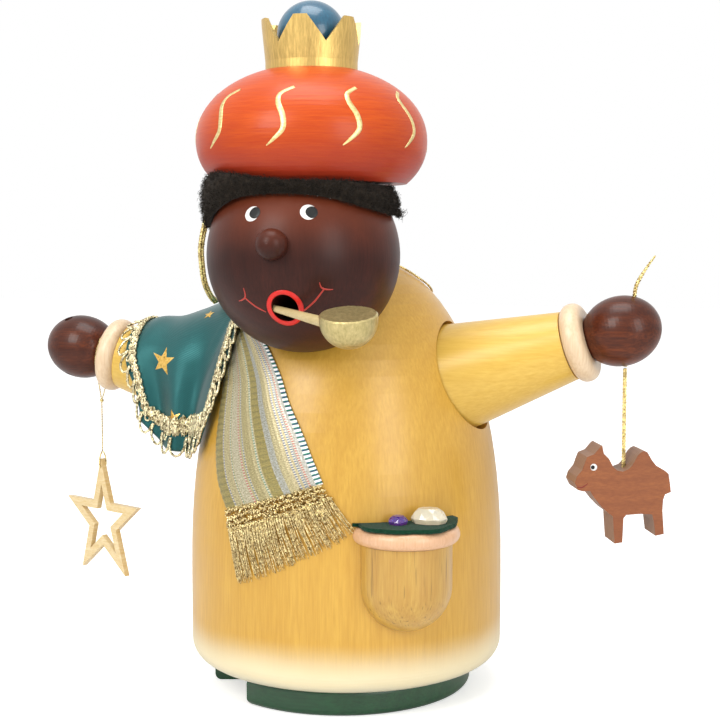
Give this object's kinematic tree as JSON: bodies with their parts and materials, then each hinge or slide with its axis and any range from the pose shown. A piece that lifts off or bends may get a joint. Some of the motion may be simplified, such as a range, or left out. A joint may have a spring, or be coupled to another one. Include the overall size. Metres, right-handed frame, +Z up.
{
  "type": "incense smoker",
  "caption": "Turned wooden incense smoker in the form of a crowned king with a pipe, a cape and a scarf; a star and a camel hang from its hands.",
  "frame": {"origin": "the point of the foot disc's underside on the figure's turned axis", "axes": "+Z up, -Y to the figure's front, +X to the figure's own left (the hand with the camel)"},
  "size_m": [0.2568, 0.1671, 0.2621],
  "materials": {
    "wood_yellow": "yellow stain, satin lacquer",
    "wood_brown": "dark brown stain, glossy lacquer",
    "wood_red": "orange-red stain, glossy lacquer",
    "wood_blue": "blue stain, glossy lacquer",
    "wood_green": "dark green stain, satin",
    "wood_pale": "clear lacquer",
    "wood_camel": "brown stain, satin",
    "gold_paint": "gold paint on wood",
    "tray_metal": "bare sheet metal",
    "plush": "dark brown plush",
    "felt_green": "green felt",
    "satin": "dark teal satin with printed gold stars",
    "gold_thread": "metallic gold thread",
    "brocade": "striped metallic brocade",
    "stone_purple": "faceted",
    "stone_clear": "faceted"
  },
  "bodies": {
    "base": {"foot_base": "wood_green", "base_plug": "wood_pale", "ember_tray": "tray_metal", "tray_nail": "tray_metal"},
    "figure": {"body_shell": "wood_yellow", "neck_dowels": "wood_pale", "head": "wood_brown", "nose": "wood_brown", "pipe_stem": "wood_pale", "pipe_bowl": "gold_paint", "turban_dowel": "wood_pale", "turban": "wood_red", "crown": "gold_paint", "crown_ball": "wood_blue", "hair": "plush", "arm_dowel_left": "wood_pale", "sleeve_left": "wood_yellow", "cuff_left": "wood_pale", "wrist_dowel_left": "wood_pale", "hand_left": "wood_brown", "arm_dowel_right": "wood_pale", "sleeve_right": "wood_yellow", "cuff_right": "wood_pale", "wrist_dowel_right": "wood_pale", "hand_right": "wood_brown", "pocket_pouch": "wood_yellow", "pocket_rim": "wood_pale", "pocket_felt": "felt_green", "gem_purple": "stone_purple", "gem_clear": "stone_clear", "cape": "satin", "cape_trim": "gold_thread", "cape_tie": "gold_thread", "scarf": "brocade", "scarf_fringe": "gold_thread", "ear_cord": "gold_thread", "camel_cord_tail": "gold_thread"},
    "camel_cord": {"camel_cord": "gold_thread"},
    "camel": {"camel": "wood_camel"},
    "star_thread": {"star_thread": "gold_thread"},
    "star": {"star": "wood_pale", "star_eye": "gold_thread"}
  },
  "joints": [
    {"name": "figure_lift", "type": "slide", "parent": "base", "child": "figure", "axis": [0, 0, 1], "range_m": [0, 0.05]},
    {"name": "camel_swing", "type": "hinge", "parent": "figure", "child": "camel_cord", "pos_m": [0.1105, -0.006, 0.129], "axis": [1, 0, 0], "range_deg": [-35, 35]},
    {"name": "camel_turn", "type": "hinge", "parent": "camel_cord", "child": "camel", "pos_m": [0.1105, -0.006, 0.0918], "axis": [0, 0, 1], "range_deg": [-90, 90]},
    {"name": "star_swing", "type": "hinge", "parent": "figure", "child": "star_thread", "pos_m": [-0.10367, -0.00543, 0.12898], "axis": [-0.9789, -0.0513, 0.1977], "range_deg": [-30, 30]},
    {"name": "star_turn", "type": "hinge", "parent": "star_thread", "child": "star", "pos_m": [-0.1058, -0.0058, 0.0872], "axis": [0, 0, 1], "range_deg": [-90, 90]}
  ]
}
